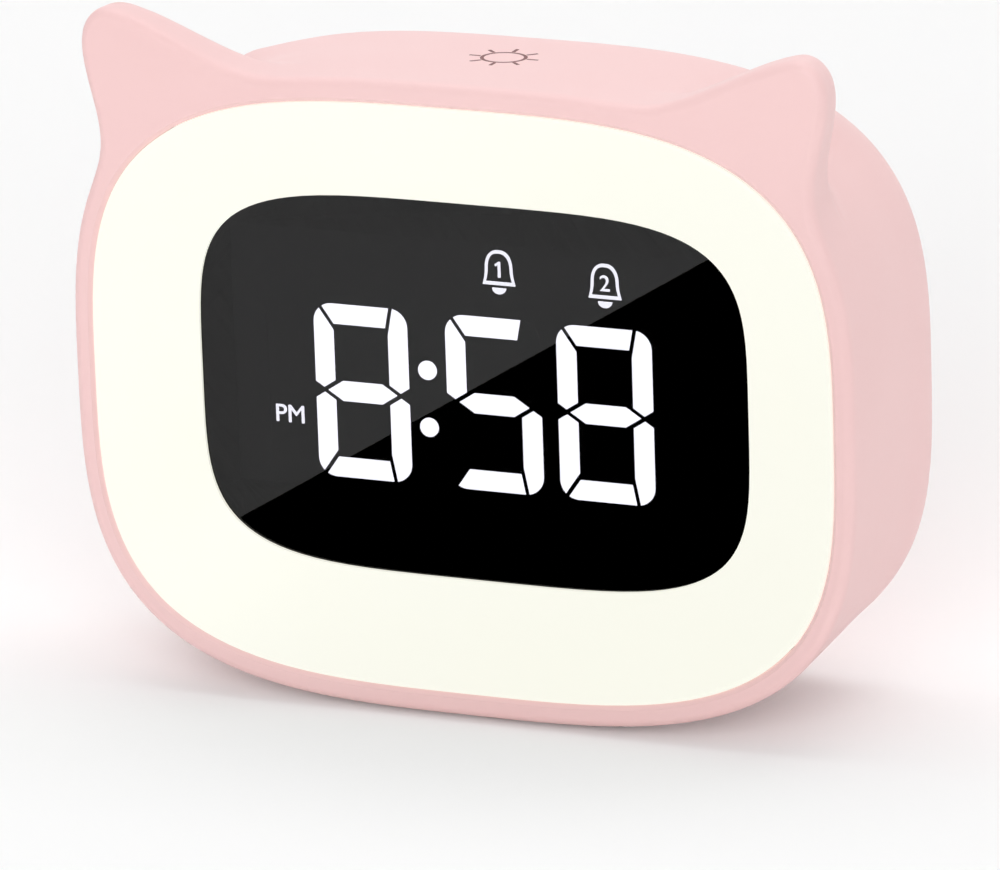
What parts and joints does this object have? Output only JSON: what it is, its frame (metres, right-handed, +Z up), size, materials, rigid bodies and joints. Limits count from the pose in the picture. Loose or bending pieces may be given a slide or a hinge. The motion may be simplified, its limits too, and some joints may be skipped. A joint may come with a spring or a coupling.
{
  "type": "alarm clock",
  "caption": "Kids' bedside alarm clock with a ring night light round a dark digital display, in a soft box shell with two animal ears.",
  "frame": {"origin": "on the table under the middle of the clock, half way between the lit face and the back rim", "axes": "+Z up, +X to the right as seen from the front, the lit face looks along -Y"},
  "size_m": [0.1306, 0.038, 0.1112],
  "materials": {
    "pink_shell": "fine satin moulded ABS, blush pink",
    "pink_cover": "fine satin moulded ABS, blush pink",
    "milky_panel": "opal diffuser, softly lit",
    "smoked_lens": "dark mirrored window, high gloss",
    "white_tray": "white reflector plastic",
    "white_board": "white solder mask",
    "lamp_chip": "warm lamp chips",
    "black_block": "matte black display block",
    "lit_digit": "milky segments, lit white",
    "lit_mark": "lit marks",
    "green_board": "green solder mask",
    "foam": "black foam",
    "battery_foil": "soft silver pouch foil",
    "chip_black": "black epoxy",
    "crystal_can": "plain can",
    "socket_metal": "nickel plated steel",
    "speaker_steel": "black painted",
    "speaker_paper": "pressed paper cone",
    "speaker_magnet": "bare ferrite",
    "copper": "bare sprung copper alloy",
    "lead_white": "white insulation",
    "lead_red": "red insulation",
    "screw_steel": "zinc plated steel",
    "rubber_foot": "soft matte rubber",
    "key_cap": "satin warm white ABS",
    "switch_stem": "black plastic",
    "switch_case": "tinned steel cover"
  },
  "bodies": {
    "base": {"alarm_1_slide_switch": "switch_case", "alarm_2_slide_switch": "switch_case", "alarm_switch": "switch_case", "battery_cell": "battery_foil", "battery_lead": "lead_red", "battery_pad": "foam", "board_chips": "chip_black", "board_header": "chip_black", "board_screws": "screw_steel", "charging_socket": "socket_metal", "cover_screws": "screw_steel", "digit_housing": "black_block", "digit_segments": "lit_digit", "display_board": "green_board", "display_lens": "smoked_lens", "display_mask": "black_block", "down_switch": "switch_case", "front_left_foot": "rubber_foot", "front_right_foot": "rubber_foot", "housing_shell": "pink_shell", "indicator_windows": "lit_mark", "light_board": "white_board", "light_chips": "lamp_chip", "light_lead": "lead_white", "light_panel": "milky_panel", "main_board": "green_board", "rear_cover": "pink_cover", "rear_left_foot": "rubber_foot", "rear_right_foot": "rubber_foot", "reflector_tray": "white_tray", "set_switch": "switch_case", "socket_tongue": "chip_black", "speaker_cone": "speaker_paper", "speaker_frame": "speaker_steel", "speaker_gasket": "foam", "speaker_lead": "lead_red", "speaker_magnet": "speaker_magnet", "timing_crystal": "crystal_can", "touch_contact": "copper", "touch_plate": "copper", "tray_screws": "screw_steel", "up_switch": "switch_case"},
    "set_key_body": {"set_key": "key_cap", "set_switch_stem": "switch_stem"},
    "down_key_body": {"down_key": "key_cap", "down_switch_stem": "switch_stem"},
    "up_key_body": {"up_key": "key_cap", "up_switch_stem": "switch_stem"},
    "alarm_key_body": {"alarm_key": "key_cap", "alarm_switch_stem": "switch_stem"},
    "alarm_1_knob_body": {"alarm_1_knob": "key_cap", "alarm_1_slider": "switch_stem"},
    "alarm_2_knob_body": {"alarm_2_knob": "key_cap", "alarm_2_slider": "switch_stem"}
  },
  "joints": [
    {"name": "set_key_press", "type": "slide", "parent": "base", "child": "set_key_body", "axis": [0, -1, 0], "range_m": [0, 0.0004], "stiffness_N_per_m": 600},
    {"name": "down_key_press", "type": "slide", "parent": "base", "child": "down_key_body", "axis": [0, -1, 0], "range_m": [0, 0.0004], "stiffness_N_per_m": 600},
    {"name": "up_key_press", "type": "slide", "parent": "base", "child": "up_key_body", "axis": [0, -1, 0], "range_m": [0, 0.0004], "stiffness_N_per_m": 600},
    {"name": "alarm_key_press", "type": "slide", "parent": "base", "child": "alarm_key_body", "axis": [0, -1, 0], "range_m": [0, 0.0004], "stiffness_N_per_m": 600},
    {"name": "alarm_1_slide", "type": "slide", "parent": "base", "child": "alarm_1_knob_body", "axis": [1, 0, 0], "range_m": [0, 0.002]},
    {"name": "alarm_2_slide", "type": "slide", "parent": "base", "child": "alarm_2_knob_body", "axis": [1, 0, 0], "range_m": [0, 0.002]}
  ]
}
